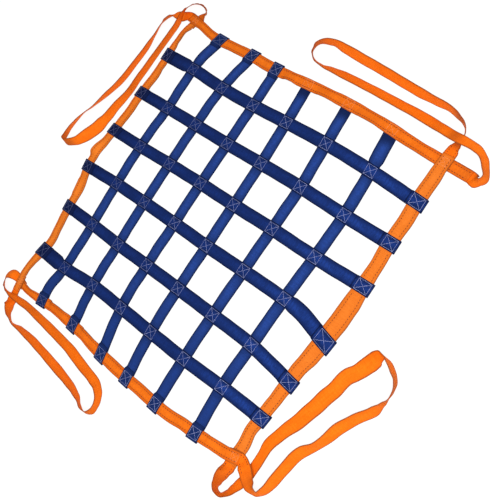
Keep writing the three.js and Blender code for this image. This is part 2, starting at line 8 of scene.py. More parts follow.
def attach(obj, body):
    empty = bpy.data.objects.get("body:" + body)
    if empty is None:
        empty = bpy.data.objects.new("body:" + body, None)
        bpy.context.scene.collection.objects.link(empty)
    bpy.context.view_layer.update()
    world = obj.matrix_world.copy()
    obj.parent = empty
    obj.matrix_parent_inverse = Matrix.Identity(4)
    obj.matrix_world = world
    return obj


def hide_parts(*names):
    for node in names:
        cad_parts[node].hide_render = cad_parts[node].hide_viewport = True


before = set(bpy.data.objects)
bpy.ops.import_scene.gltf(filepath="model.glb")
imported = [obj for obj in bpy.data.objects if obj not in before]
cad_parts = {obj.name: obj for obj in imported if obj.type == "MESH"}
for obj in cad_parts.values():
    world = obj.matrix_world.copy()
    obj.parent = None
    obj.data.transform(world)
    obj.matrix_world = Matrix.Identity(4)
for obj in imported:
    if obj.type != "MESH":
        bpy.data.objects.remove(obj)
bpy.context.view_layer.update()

# Sizes in millimetres, as in the part's source
MM_PER_M = 1000
BLUE_WIDTH = 54
BLUE_THICK = 2.2
BLUE_HALF = BLUE_WIDTH / 2
LOOP_THICK = 2.6
COVER_THICK = 2
GAP = 0.3
BORDER_THICK = LOOP_THICK + GAP + COVER_THICK
ROW_RISE = BLUE_THICK + GAP
CORNER_RISE = BORDER_THICK + GAP
REST_HALF = 45
REST_EASE = 42
LEAN_HALF = 45
LEAN_EASE = 26
TURN_CLEAR = 2
FLAP_DROP_START = 4
FLAP_DROP_END = 11
FLAP_END = 13
TUCK_SHORT = 6
END_BLEND = 60
WIDE_CLEAR = 25
WIDE_EASE = 20
LAP_INSIDE = 32
LAP_STEP = 0.4
LAP_CLEAR = 9
MIDDLE = np.array([75.8, -30.2])
UP = np.array([0, 0, 1.0])

# Width of the lower layer of a border, as a share of its cover's
LOWER_SHARE = 0.98

# Fineness of the visible bands. The last two: shortest steps beside the crossings and cut ends of a border
STEP = 6.0
TURN_STEPS = 12
FLAP_PLACES = 10
DROP_STEPS = 6
FLAT_PARTS = 6
ROUND_ANGLES = (60, 0, -60)
CURVE_SAMPLES = 4001
STEP_AT_CROSSING = 1
STEP_AT_CUT = 2

# Unevenness of webbing that lies loose
EDGE_LIFT = 2.4
EDGE_WANDER = 0.5
LOOP_WANDER = {"loop_top_right": 0.8, "loop_bottom_right": 1.9,
               "loop_bottom_left": 0.8, "loop_top_left": 0.8}
WAVE_LONG = 170
WAVE_SHORT = 90

# Two waves that make up a ripple: how fast each turns, how far a seed turns it and where it starts
RIPPLE_WAVES = ((1.0, 1.7, 0.0), (0.43, 4.1, 1.3))

# Seeds of the ripples: first one of each kind of band, and what the right and left edges add to it
SEEDS = {"column": 11, "row": 31, "cover": 51, "lower": 61, "loop": 71}
LIFT_SEEDS = (0, 7)
WAVER_SEEDS = (3, 5)

# How far from its ends a blue strap is pressed flat, and over what length its edges come loose
LOOSE_CLEAR = 70
LOOSE_EASE = 60

# Thread: length, gap, width and height of one stitch
BOX_STITCH = {"length": 4.2, "gap": 0.9, "width": 1.7, "height": 0.7}
ROW_STITCH = {"length": 7.0, "gap": 4.5, "width": 2.6, "height": 0.7}

# Rings of a stitch: shares of its length, width and height. Its top is narrower than its sunk foot
STITCH_RINGS = ((0.0, 0.55, 0.1), (0.22, 1.0, 0.9), (0.78, 1.0, 0.9), (1.0, 0.55, 0.1))
STITCH_TOP = 0.6
STITCH_SUNK = 0.3

# Sewn boxes: how far they stay inside the edges, and the cross inside its box as a share of the diagonal.
# TUCK_BOX_SHARE: reach of a box over a tucked end, as a share of the border's half width
BOX_INSET = 5.5
FLAP_INSET = 4.5
CROSS_INSET = 0.06
TUCK_BOX_SHARE = 0.8

# Sewn rows: place across the band as a share of its half width, room left beside a flap or the next
# border, and how far from the place of a strap on the border its flap covers them
ROW_SHARE = 0.58
ROW_CLEAR = 6
FLAP_COVERS = 60

# How much painted shade lies on the strap ends on each border (top, right, bottom, left), and at the foot
# of each flap
END_SHADE = (0.72, 0.32, 0.58, 0.82)
DROP_SHADE = 0.7

# Shade on a column strap where it runs out from under a row strap or the top border, and how far it reaches
CROSS_SHADE = 0.45
CROSS_SHADE_REACH = 42
TUCK_SHADE = 0.9
TUCK_SHADE_REACH = 58

# Shade on a row strap beside the left border, and how far it reaches
ROW_SHADE = 0.5
ROW_SHADE_REACH = 260

# Weave: ribs across a strap, length of two picks in metres, roundness of a rib and depth of a pick
WARP_RIBS = 18.0
PICK_PITCH = 0.0042
RIB_ROUND = 0.6
PICK_DEPTH = 0.6

# Camera of the photo, solved from the strap crossings: axes, place in metres, lens in millimetres
CAMERA_RIGHT = (0.70608, 0.55393, -0.44115)
CAMERA_UP = (-0.47502, 0.83253, 0.28507)
CAMERA_BACK = (0.52517, 0.00827, 0.85096)
CAMERA_EYE = (1.7328, 0.0363, 2.5083)
CAMERA_LENS = 54.72
CAMERA_SENSOR = 36

# Soft lights that face the middle of the net: name, place and width in metres, power in watts.
# LIGHT_UPWARD: which way their squares are turned
LIGHTS = (("overhead_softbox", (0.0, 0.0, 3.4), 4.2, 25), ("key_softbox", (2.4, -0.3, 3.4), 2.4, 172))
LIGHT_UPWARD = (0, 1, 0.001)
ROOM_LIGHT = 0.58

# Floor: half its size and its depth below the net in metres, its two greys and its own light
FLOOR_HALF = 20.0
FLOOR_BELOW = 0.0005
FLOOR_GREYS = ((0.15, 0.15, 0.15, 1), (0.16, 0.16, 0.16, 1))
FLOOR_SPOTS = 3.0
FLOOR_GLOW = 0.88
WHITE = (1.0, 1.0, 1.0, 1)

# Places where the orange webbing has painted shade, at turns and below other straps: x, y, reach and amount
SHADED = [
    (895, 640, 85, 0.40), (35, 800, 95, 0.80), (715, 795, 70, 0.65), (748, 715, 60, 0.50),
    (840, 618, 70, 0.35), (712, -745, 95, 0.60), (1052, -140, 120, 0.60), (815, -690, 90, 0.48),
    (790, -640, 50, 0.25),
    (-712, -735, 70, 0.40), (-585, -838, 80, 0.40), (70, -905, 70, 0.45),
    (-610, 765, 85, 0.85), (-870, -55, 80, 0.70), (-772, 655, 70, 0.50), (-695, 728, 45, 0.35),
    (-622, 705, 120, 0.25), (-638, -704, 60, 0.15), (705, -655, 60, 0.15), (747, 629, 60, 0.15),
]

# Lengths of the sewn rows that run on from a border along a loop: at its first and its last end
SEWN = {"loop_top_right": (0, 95), "loop_bottom_right": (115, 110)}

# The four tables below repeat those of the part's source. They were fitted to the photo through its camera

# Row straps, top to bottom: y at the left border, at each column strap and at the right border.
# start_bend and bend: places where a strap bows before an end. start_width and end_width: its width there
ROWS = [
    {"left": 511, "columns": [509, 494.5, 490.5, 492, 491, 479], "right": 459,
     "start_width": 62},
    {"left": 306, "columns": [305, 303, 300, 299.5, 297, 288.5], "right": 284},
    {"left": 99, "columns": [99, 102.5, 103.5, 102, 103.5, 100], "right": 104},
    {"left": -104, "columns": [-95, -92.5, -92.5, -94, -91.5, -91], "right": -132,
     "bend": (600, -96), "end_width": 62},
    {"left": -303, "columns": [-302, -304, -300.5, -299, -299, -301], "right": -325},
    {"left": -527, "columns": [-527, -508, -505, -504.5, -502, -492], "right": -488,
     "start_width": 66},
]

# Column straps, left to right: x at the top border, at each row strap and at the bottom border
COLUMNS = [
    {"top": -442, "rows": [-482, -481.5, -491, -485, -472.5, -467.5], "bottom": -468, "tucked": False,
     "start_bend": (-475, 576), "bend": (-481, -645), "start_width": 59, "end_width": 58},
    {"top": -245, "rows": [-287, -297, -298.5, -296.5, -289, -280.5], "bottom": -249, "tucked": False},
    {"top": -99, "rows": [-99, -100.5, -102.5, -100.5, -100, -89.5], "bottom": -42, "tucked": False},
    {"top": 75, "rows": [86, 93, 94, 95, 94.5, 101.5], "bottom": 127, "tucked": True},
    {"top": 284, "rows": [295, 307, 305, 301.5, 297.5, 297.5], "bottom": 305, "tucked": True},
    {"top": 502, "rows": [520, 530.5, 525.5, 515.5, 509, 504], "bottom": 518, "tucked": True,
     "start_width": 62},
]

# Border bands, clockwise. Sections: x, y, lean, width
BORDERS = [
    {"name": "border_top", "past_start": 40, "past_end": 108, "sections": [
        (-622, 705, 0, 42), (-575, 697, -6, 39), (-510, 682, -8, 40), (-442, 673, 0, 45),
        (-345, 673, -6, 46), (-245, 672, 0, 47), (-165, 667, 0, 50), (-99, 664, 0, 48), (-12, 666, -18, 47),
        (75, 668, 0, 47), (178, 669, -14, 47), (284, 667, 0, 48), (410, 660, -14, 47), (502, 652, 0, 48),
        (574, 643, -6, 48), (640, 636, -10, 47), (747, 629, 0, 47)]},
    {"name": "border_right", "past_start": 30, "past_end": 30, "sections": [
        (747, 629, 0, 52), (744, 555, 0, 59), (743, 459, 0, 60), (746, 385, 0, 61), (744, 284, 0, 58),
        (749, 190, 0, 56), (750, 104, 0, 62), (750, 20, 0, 75), (747, -60, 0, 77), (741, -132, 0, 74),
        (734, -197, 0, 71), (722, -262, 0, 62), (718, -325, 0, 58), (711, -410, 0, 54), (705, -488, 0, 52),
        (699, -550, 0, 50), (707, -605, 0, 53), (705, -655, 0, 53)]},
    {"name": "border_bottom", "past_start": 21, "past_end": 20, "sections": [
        (705, -655, 0, 48), (650, -668, -4, 48), (590, -676, -10, 48), (518, -687, 0, 48),
        (455, -692, -4, 48), (380, -704, 0, 49), (305, -706, 0, 49), (205, -706, 0, 50), (127, -707, 0, 50),
        (40, -706, 4, 50), (-42, -704, 0, 49), (-110, -700, -8, 49), (-175, -693, -14, 48),
        (-249, -692, 0, 47), (-345, -692, -20, 46), (-405, -694, -24, 45), (-468, -701, 0, 44),
        (-520, -708, -6, 36), (-560, -712, -10, 31), (-598, -711, -8, 31), (-638, -704, 0, 40)]},
    {"name": "border_left", "past_start": 44, "past_end": 14, "sections": [
        (-638, -704, 0, 42), (-650, -640, -4, 39), (-645, -600, -4, 43), (-627, -527, 0, 47),
        (-618, -475, 0, 47), (-629, -410, -3, 47), (-644, -303, 0, 47), (-652, -205, 14, 47),
        (-684, -104, 0, 47), (-687, -25, 32, 47), (-680, 45, 2, 47), (-672, 99, 0, 47), (-664, 190, 0, 47),
        (-658, 306, 0, 47), (-652, 400, 0, 47), (-650, 455, -6, 44), (-651, 511, 0, 40),
        (-652, 590, -12, 35), (-648, 645, -13, 34), (-622, 705, 0, 40)]},
]

# Lifting loops. Sections: x, y, lean, lift, width
LOOPS = [
    {"name": "loop_top_right", "sections": [
        (880, 613, 34, 0, 50), (902, 617, 81, 0, 50), (911, 636, 76, 0, 50), (889, 671, 66, 0, 50),
        (861, 701, 58, 0, 50), (827, 713, 41, 25, 50), (767, 712, 30, 47, 50), (703, 720, 31, 34, 50),
        (609, 736, 28, 8, 50), (407, 751, 34, 0, 50), (209, 759, 38, 0, 50), (131, 758, 50, 0, 50),
        (73, 758, 71, 0, 50), (33, 773, 98, 0, 50), (12, 800, 116, 0, 50), (14, 829, 110, 0, 50),
        (65, 856, 83, 0, 50), (133, 855, 61, 0, 50), (211, 848, 55, 0, 50), (410, 828, 58, 0, 50),
        (509, 817, 59, 0, 50), (590, 811, 71, 0, 50), (650, 808, 77, 0, 50), (690, 798, 76, 0, 50),
        (720, 786, 82, 0, 50), (741, 773, 80, 0, 50), (754, 756, 75, 0, 50), (760, 737, 67, 0, 50),
        (759, 716, 52, 0, 50), (753, 697, 28, 0, 50), (748, 681, 8, 2, 50)]},
    {"name": "loop_bottom_right", "sections": [
        (708, -726, 130, 0, 56), (712, -759, 102, 0, 56), (716, -779, 84, 0, 56), (733, -786, 88, 0, 56),
        (756, -773, 117, 0, 56), (771, -744, 140, 0, 50), (781, -709, 162, 0, 46),
        (787, -671, 170, 0, 44), (789, -631, 168, 0, 44), (789, -587, 160, 0, 47),
        (790, -535, 162, 0, 54), (843, -369, 175, 0, 60), (860, -301, 180, 0, 63),
        (872, -256, 184, 0, 60), (880, -215, 186, 0, 58), (889, -184, 184, 0, 58),
        (905, -158, 180, 0, 58), (920, -130, 180, 0, 63), (930, -106, 184, 0, 64), (937, -86, 198, 0, 61),
        (947, -66, 230, 0, 58), (966, -56, 266, 0, 56), (990, -65, 277, 0, 56), (1018, -83, 277, 0, 56),
        (1043, -104, 269, 0, 56), (1055, -135, 260, 0, 56), (1056, -164, 256, 0, 56),
        (1050, -191, 273, 0, 56), (1036, -229, 297, 0, 56), (999, -289, 300, 0, 56),
        (972, -342, 308, 0, 56), (940, -437, 290, 0, 56), (909, -484, 305, 0, 56),
        (892, -549, 301, 0, 56), (884, -615, 297, 0, 56), (877, -663, 288, 0, 56),
        (867, -689, 282, 2, 56), (846, -697, 304, 9, 56), (817, -690, 340, 20, 56),
        (793, -677, 353, 21, 56), (765, -659, 356, 16, 56)]},
    {"name": "loop_bottom_left", "sections": [
        (-706, -703, 26, 0, 50), (-718, -723, 29, 0, 50), (-710, -744, 47, 0, 50), (-694, -761, 53, 1, 50),
        (-661, -766, 68, 8, 50), (-628, -765, 91, 13, 50), (-596, -764, 108, 13, 50),
        (-533, -762, 118, 5, 50), (-481, -760, 114, 0, 50), (-284, -766, 124, 0, 50),
        (-185, -771, 125, 0, 50), (-88, -786, 127, 0, 50), (14, -799, 120, 0, 50), (55, -814, 100, 0, 50),
        (83, -844, 86, 0, 50), (92, -872, 84, 0, 50), (84, -906, 97, 0, 50), (48, -920, 107, 0, 50),
        (15, -908, 110, 0, 50), (-25, -890, 88, 0, 50), (-84, -878, 72, 0, 50), (-184, -868, 62, 0, 50),
        (-382, -854, 67, 0, 50), (-482, -855, 79, 0, 50), (-544, -858, 113, 0, 50),
        (-576, -843, 104, 0, 50), (-596, -814, 82, 0, 50), (-620, -787, 12, 0, 50)]},
    {"name": "loop_top_left", "sections": [
        (-601, 736, 180, 0, 42), (-584, 751, 130, 0, 50), (-598, 766, 104, 0, 50), (-627, 774, 78, 0, 50),
        (-658, 772, 61, 0, 50), (-687, 759, 47, 0, 50), (-696, 737, 44, 6, 50), (-692, 713, 56, 12, 50),
        (-687, 687, 71, 13, 50), (-683, 667, 76, 10, 50), (-690, 625, 75, 1, 50), (-696, 540, 75, 0, 50),
        (-702, 416, 78, 0, 50), (-706, 346, 80, 0, 50), (-707, 277, 82, 0, 50), (-725, 198, 93, 0, 50),
        (-736, 128, 105, 0, 50), (-754, 70, 135, 0, 55), (-781, 18, 136, 0, 55), (-813, -33, 114, 0, 50),
        (-846, -58, 107, 0, 50), (-876, -71, 104, 0, 50), (-894, -64, 106, 0, 50), (-898, -38, 112, 0, 50),
        (-900, 0, 117, 0, 50),
        (-894, 40, 122, 0, 50), (-882, 89, 131, 0, 50), (-859, 127, 128, 0, 50), (-812, 238, 109, 0, 50),
        (-789, 306, 104, 0, 50), (-776, 426, 107, 0, 50), (-770, 495, 109, 0, 50), (-776, 575, 126, 0, 50),
        (-781, 625, 133, 0, 50), (-774, 650, 124, 0, 50), (-755, 677, 120, 0, 50), (-737, 693, 156, 0, 50),
        (-706, 700, 180, 3, 50)]},
]


def ease(t):
    c = np.clip(t, 0, 1)
    return c * c * (3 - 2 * c)


def held(distance):
    """How far a strap is held up by one that it lies over: 1 on it, 0 away from it."""
    return ease((REST_HALF + REST_EASE - np.abs(distance)) / REST_EASE)


def gripped(distance):
    """How far a border band is kept flat by a strap end round it: 1 at it, 0 away from it."""
    return ease((LEAN_HALF + LEAN_EASE - distance) / LEAN_EASE)


def shaded(places):
    """Painted shade on orange webbing at places along its route."""
    amounts = [amount * (1 - ease(np.linalg.norm(places - (x, y), axis=1) / reach))
               for x, y, reach, amount in SHADED]
    return np.max(amounts, axis=0)


def unit(v):
    return v / np.linalg.norm(v, axis=-1, keepdims=True)


def left_of(direction):
    return unit(np.stack([-direction[..., 1], direction[..., 0]], axis=-1))


def flat3(v, z=0.0):
    """Floor vectors with a height."""
    v = np.asarray(v, float)
    return np.concatenate([v, np.full(v.shape[:-1] + (1,), float(z))], axis=-1)


def column_of(table, index):
    return [row[index] for row in table]


def running(points):
    """Length run along a line at each of its points."""
    return np.concatenate([[0], np.cumsum(np.linalg.norm(np.diff(points, axis=0), axis=1))])


class Curve:
    """Smooth floor curve through places, with centripetal spacing."""

    def __init__(self, places):
        p = np.array(places, float)[:, :2]
        ends = np.vstack([2 * p[0] - p[1], p, 2 * p[-1] - p[-2]])
        gap = np.sqrt(np.linalg.norm(np.diff(ends, axis=0), axis=1))[:, None]
        x0, x1, x2, x3 = ends[:-3], ends[1:-2], ends[2:-1], ends[3:]
        g0, g1, g2 = gap[:-2], gap[1:-1], gap[2:]
        out = ((x1 - x0) / g0 - (x2 - x0) / (g0 + g1) + (x2 - x1) / g1) * g1
        into = ((x2 - x1) / g1 - (x3 - x1) / (g1 + g2) + (x3 - x2) / g2) * g1
        self.spans = len(p) - 1
        self.parts = (x1, out, 3 * (x2 - x1) - 2 * out - into, 2 * (x1 - x2) + out + into)
        self.fine = np.linspace(0, 1, CURVE_SAMPLES)
        self.way = running(self.point(self.fine))
        self.length = self.way[-1]

    def span(self, t):
        scaled = np.asarray(t, float) * self.spans
        i = np.minimum(scaled.astype(int), self.spans - 1)
        return i, (scaled - i)[..., None]

    def point(self, t):
        i, w = self.span(t)
        a, b, c, d = (part[i] for part in self.parts)
        return a + w * (b + w * (c + w * d))

    def tangent(self, t):
        i, w = self.span(t)
        _, b, c, d = (part[i] for part in self.parts)
        return unit(b + w * (2 * c + 3 * w * d))

    def at(self, share):
        """Curve parameter at a share of the length."""
        return np.interp(share, self.way / self.length, self.fine)

    def where(self, axis, value):
        """Point, direction and parameter of the place that has a given x (axis 0) or y (axis 1)."""
        t = self.fine[np.argmin(np.abs(self.point(self.fine)[:, axis] - value))]
        return self.point(t), self.tangent(t), t

    def past(self, end, reach):
        """Place on the straight line through one end (0 or 1), at a reach along its direction."""
        return self.point(end) + self.tangent(end) * reach


def between(values, t):
    """Table value at a curve parameter, eased between rows."""
    values = np.asarray(values, float)
    scaled = t * (len(values) - 1)
    i = np.minimum(scaled.astype(int), len(values) - 2)
    return values[i] + (values[i + 1] - values[i]) * ease(scaled - i)


def lean_frames(places, along, lean, lift, half, thick):
    """Centres, unit widths and unit normals of a band that leans on its lower edge."""
    angle = np.radians(lean)[:, None]
    left = flat3(left_of(along))
    width = np.cos(angle) * left + np.sin(angle) * UP
    normal = -np.sin(angle) * left + np.cos(angle) * UP
    height = lift + half * np.abs(np.sin(angle[:, 0])) + thick / 2 * np.abs(np.cos(angle[:, 0]))
    centre = flat3(places)
    centre[:, 2] = height
    return centre, width, normal


def ripple(s, seed, wave):
    """Slow uneven wave from 0 to 1 along a strap."""
    turn = 2 * math.pi * s / wave
    waves = [np.sin(speed * turn + by_seed * seed + start) for speed, by_seed, start in RIPPLE_WAVES]
    return 0.5 + 0.25 * np.sum(waves, axis=0)


def outline(half, thick):
    """Rounded section of a webbing band: places across and up, in order round it."""
    r = thick / 2
    flat = np.linspace(-(half - r), half - r, FLAT_PARTS + 1)
    bend = np.radians(ROUND_ANGLES)
    across = np.concatenate([flat, half - r + r * np.cos(bend), flat[::-1], -(half - r) - r * np.cos(bend)])
    level = np.full(len(flat), r)
    up = np.concatenate([level, r * np.sin(bend), -level, -r * np.sin(bend)])
    return across, up


def mesh_object(name, verts, faces, material, layers=()):
    """Smooth piece that rides on the part, from places in millimetres."""
    mesh = bpy.data.meshes.new(name)
    placed = np.asarray(verts, float).copy()
    placed[:, :2] -= MIDDLE
    mesh.from_pydata((placed / MM_PER_M).tolist(), [], faces)
    mesh.materials.append(material)
    index = np.zeros(len(mesh.loops), int)
    mesh.loops.foreach_get("vertex_index", index)
    for title, values in layers:
        layer = mesh.uv_layers.new(name=title)
        layer.data.foreach_set("uv", np.asarray(values, float)[index].ravel())
    mesh.polygons.foreach_set("use_smooth", np.ones(len(mesh.polygons), bool))
    mesh.update()
    piece = bpy.data.objects.new(name, mesh)
    bpy.context.scene.collection.objects.link(piece)
    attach(piece, "root")
    return piece


def edge_lift(s, share, seed):
    """How far each place across a loose band lifts, most at its edges."""
    right, left = (ripple(s, seed + more, WAVE_LONG)[:, None] for more in LIFT_SEEDS)
    return EDGE_LIFT * (right * np.clip(-share, 0, 1) ** 2 + left * np.clip(share, 0, 1) ** 2)


def edge_waver(s, share, seed):
    """How far each edge of a band wavers sideways, from -0.5 to 0.5."""
    right, left = ((ripple(s, seed + more, WAVE_SHORT) - 0.5)[:, None] for more in WAVER_SEEDS)
    return right * (share < 0) + left * (share > 0)


def tube_faces(sections, places):
    """Faces of a closed band through its sections, with so many places round each."""
    faces = []
    for i in range(sections - 1):
        for k in range(places):
            a = i * places + k
            b = i * places + (k + 1) % places
            faces.append((a, a + places, b + places, b))
    faces.append(tuple(range(places)))
    faces.append(tuple(range((sections - 1) * places, sections * places))[::-1])
    return faces


def band(name, centre, across, normal, half, thick, loose, fold, seed, material, wander=EDGE_WANDER):
    """Webbing band through its sections. across reaches from the middle to the edge.
    loose: 1 where an edge may lift off what is below, 0 where it is held. fold: painted shade on each
    section, 1 at the outer edge of a turn and on a cut end. wander: how far its edges waver.
    No place goes below the floor.
    Returns the piece and its length."""
    s = running(centre)
    x, z = outline(half, thick)
    share = x / half
    lift = loose[:, None] * edge_lift(s, share, seed)
    sideways = share[None, :] * (1 + 2 * wander / half * edge_waver(s, share, seed))
    up_sign = np.where(normal[:, 2] < 0, -1.0, 1.0)[:, None]
    verts = (centre[:, None, :]
             + across[:, None, :] * sideways[:, :, None]
             + normal[:, None, :] * (z[None, :] + up_sign * lift)[:, :, None])
    verts[..., 2] = np.maximum(verts[..., 2], 0)
    strap = np.stack(np.broadcast_arrays((share[None, :] + 1) / 2, s[:, None] / MM_PER_M), axis=-1)
    # Painted shade of each section, passed to the material in a layer of its own
    painted_shades = np.repeat(np.stack([fold, fold], axis=-1), len(x), axis=0)
    layers = [("strap", strap.reshape(-1, 2)), ("fold", painted_shades)]
    piece = mesh_object(name, verts.reshape(-1, 3), tube_faces(len(centre), len(x)), material, layers)
    return piece, s[-1]


def stitch_object(name, seams, stitch, material):
    """Thread along seams. Each seam: from, to and the normal of the cloth there."""
    verts, faces = [], []
    pitch = stitch["length"] + stitch["gap"]
    for start, end, normal in seams:
        run = end - start
        length = np.linalg.norm(run)
        count = max(1, int(round((length + stitch["gap"]) / pitch)))
        size = (length - stitch["gap"] * (count - 1)) / count
        forward = run / length
        side = unit(np.cross(normal, forward))
        sunk = normal * -STITCH_SUNK
        for k in range(count):
            foot = start + forward * (k * (size + stitch["gap"]))
            base = len(verts)
            for share, wide, high in STITCH_RINGS:
                middle = foot + forward * (size * share)
                w = side * (stitch["width"] / 2 * wide)
                top = normal * (stitch["height"] * high)
                verts += [middle - w + sunk, middle - STITCH_TOP * w + top,
                          middle + STITCH_TOP * w + top, middle + w + sunk]
            for r in range(len(STITCH_RINGS) - 1):
                for c in range(4):
                    a = base + 4 * r + c
                    b = base + 4 * r + (c + 1) % 4
                    faces.append((a, b, b + 4, a + 4))
            last = base + 4 * (len(STITCH_RINGS) - 1)
            faces.append((base + 3, base + 2, base + 1, base))
            faces.append((last, last + 1, last + 2, last + 3))
    return mesh_object(name, np.array(verts), faces, material)


def at_length(values, s, reach):
    """Value along a line at a length run along it."""
    return np.array([np.interp(reach, s, values[:, axis]) for axis in range(3)])


def row_seams(line, normal, start, end):
    """Single stitches behind one another along a line, between two lengths run along it."""
    s = running(line)
    pitch = ROW_STITCH["length"] + ROW_STITCH["gap"]
    seams = []
    for k in range(math.ceil(start / pitch), int(end / pitch)):
        foot = k * pitch
        seams.append((at_length(line, s, foot), at_length(line, s, foot + ROW_STITCH["length"]),
                      unit(at_length(normal, s, foot))))
    return seams


def box_seams(corners):
    """A sewn box with a cross: its four sides and two diagonals."""
    a, b, c, d = corners
    inner = [p + CROSS_INSET * (q - p) for p, q in ((a, c), (c, a), (b, d), (d, b))]
    sides = [(a, b, UP), (b, c, UP), (c, d, UP), (d, a, UP)]
    return sides + [(inner[0], inner[1], UP), (inner[2], inner[3], UP)]


def box_round(middle, a, b):
    """A sewn box with a cross round a place, from half its two sides."""
    return box_seams([middle - a - b, middle + a - b, middle + a + b, middle - a + b])


class Nodes:
    """Small helper that adds linked shader nodes."""

    def __init__(self, material):
        material.use_nodes = True
        self.tree = material.node_tree
        self.shader = self.tree.nodes["Principled BSDF"]

    def add(self, kind, inputs=None, **settings):
        node = self.tree.nodes.new(kind)
        for key, value in settings.items():
            setattr(node, key, value)
        for key, value in (inputs or {}).items():
            self.put(node, key, value)
        return node

    def put(self, node, key, value):
        if hasattr(value, "is_linked"):
            self.tree.links.new(value, node.inputs[key])
        else:
            node.inputs[key].default_value = value

    def math(self, operation, a, b=0.0, c=0.0):
        return self.add("ShaderNodeMath", {0: a, 1: b, 2: c}, operation=operation).outputs[0]

    def smooth(self, value, low, high, to_low=0.0, to_high=1.0):
        return self.add("ShaderNodeMapRange", {"Value": value, "From Min": low, "From Max": high,
                                               "To Min": to_low, "To Max": to_high},
                        interpolation_type="SMOOTHSTEP").outputs["Result"]

    def mix(self, factor, a, b):
        node = self.add("ShaderNodeMix", {"Factor": factor}, data_type="RGBA")
        self.put(node, 6, a)
        self.put(node, 7, b)
        return node.outputs[2]

    def noise(self, vector, scale, detail=3.0):
        inputs = {"Vector": vector, "Scale": scale, "Detail": detail}
        return self.add("ShaderNodeTexNoise", inputs).outputs["Fac"]

    def split(self, vector):
        return self.add("ShaderNodeSeparateXYZ", {"Vector": vector}).outputs

    def uv(self, title):
        return self.split(self.add("ShaderNodeUVMap", uv_map=title).outputs["UV"])

    def place(self):
        return self.add("ShaderNodeTexCoord").outputs["Object"]

    def bump(self, strength, distance, height):
        node = self.add("ShaderNodeBump", {"Strength": strength, "Distance": distance, "Height": height})
        self.put(self.shader, "Normal", node.outputs["Normal"])


def woven(n, u, v):
    """Height of the weave: warp ribs along the strap, each crossed by picks in its own step."""
    warp = n.math("MULTIPLY", u, WARP_RIBS)
    ridge = n.math("SINE", n.math("MULTIPLY", n.math("FRACT", warp), math.pi))
    step = n.math("MULTIPLY", n.math("FLOOR", warp), math.pi)
    turn = n.math("ADD", n.math("MULTIPLY", v, 2 * math.pi / PICK_PITCH), step)
    over = n.math("MULTIPLY_ADD", n.math("SINE", turn), 0.5, 0.5)
    pick = n.math("MULTIPLY_ADD", over, PICK_DEPTH, 1 - PICK_DEPTH)
    return n.math("MULTIPLY", n.math("POWER", ridge, RIB_ROUND), pick)


def uneven(n, u, v, across, along, detail):
    """Noise with so many spots across the strap and along each metre of it."""
    scaled = {"X": n.math("MULTIPLY", u, across), "Y": n.math("MULTIPLY", v, along)}
    return n.noise(n.add("ShaderNodeCombineXYZ", scaled).outputs[0], 1.0, detail)


def webbing(name, body, valley, edge, side_face, glint, rim, hollow, specular, sheen, painted_falloff=None):
    """Woven webbing: warp ribs along the strap, crossed by picks, darker towards its edges, with painted
    shade in the hollows of the weave, on its side faces, on turns and cut ends, and beside and under other
    straps.
    rim: where the darker edge starts and is full, as shares of the half width. hollow: painted shade from
    the middle towards the edges. painted_falloff: axis of the net along which painted light and shade
    change, where that starts and ends, and to which colour."""
    material = bpy.data.materials.new(name)
    n = Nodes(material)
    strap = n.uv("strap")
    fold = n.uv("fold")["X"]
    u, v = strap["X"], strap["Y"]
    weave = woven(n, u, v)
    streak = uneven(n, u, v, across=26.0, along=9.0, detail=2.0)
    blotch = uneven(n, u, v, across=1.6, along=14.0, detail=3.0)
    pick = uneven(n, u, v, across=3.0, along=150.0, detail=2.0)
    side = n.math("MULTIPLY", n.math("ABSOLUTE", n.math("SUBTRACT", u, 0.5)), 2.0)
    colour = n.mix(n.smooth(streak, low=0.3, high=0.7, to_high=0.55), body, glint)
    # Painted light and shade that change across the net
    if painted_falloff:
        place = n.split(n.place())[painted_falloff["axis"]]
        colour = n.mix(n.smooth(place, painted_falloff["start"], painted_falloff["end"], to_high=0.8), colour, painted_falloff["colour"])
    colour = n.mix(n.smooth(blotch, low=0.35, high=0.75, to_high=0.5), colour, valley)
    colour = n.mix(n.smooth(pick, low=0.35, high=0.65, to_high=0.4), colour, valley)
    # Painted shade from the middle of the strap towards its edges
    colour = n.mix(n.smooth(side, low=0.2, high=0.8, to_high=hollow), colour, valley)
    # Painted shade in the hollows of the weave
    colour = n.mix(n.smooth(weave, low=0.05, high=0.6, to_low=0.6, to_high=0.0), colour, valley)
    colour = n.mix(n.smooth(side, low=rim[0], high=rim[1], to_high=0.92), colour, edge)
    # Painted shade on the band's thin side faces
    colour = n.mix(n.smooth(side, low=0.965, high=0.99), colour, side_face)
    # Painted shade that each section carries: on turns, cut ends, and beside and under other straps
    colour = n.mix(n.smooth(fold, low=0.0, high=1.0, to_high=0.92), colour, edge)
    n.put(n.shader, "Base Color", colour)
    n.put(n.shader, "Roughness", n.smooth(weave, low=0.0, high=1.0, to_low=0.78, to_high=0.55))
    n.shader.inputs["Specular IOR Level"].default_value = specular
    n.shader.inputs["Sheen Weight"].default_value = sheen
    n.shader.inputs["Sheen Roughness"].default_value = 0.4
    n.shader.inputs["Sheen Tint"].default_value = glint
    n.bump(strength=0.45, distance=0.0006, height=weave)
    return material


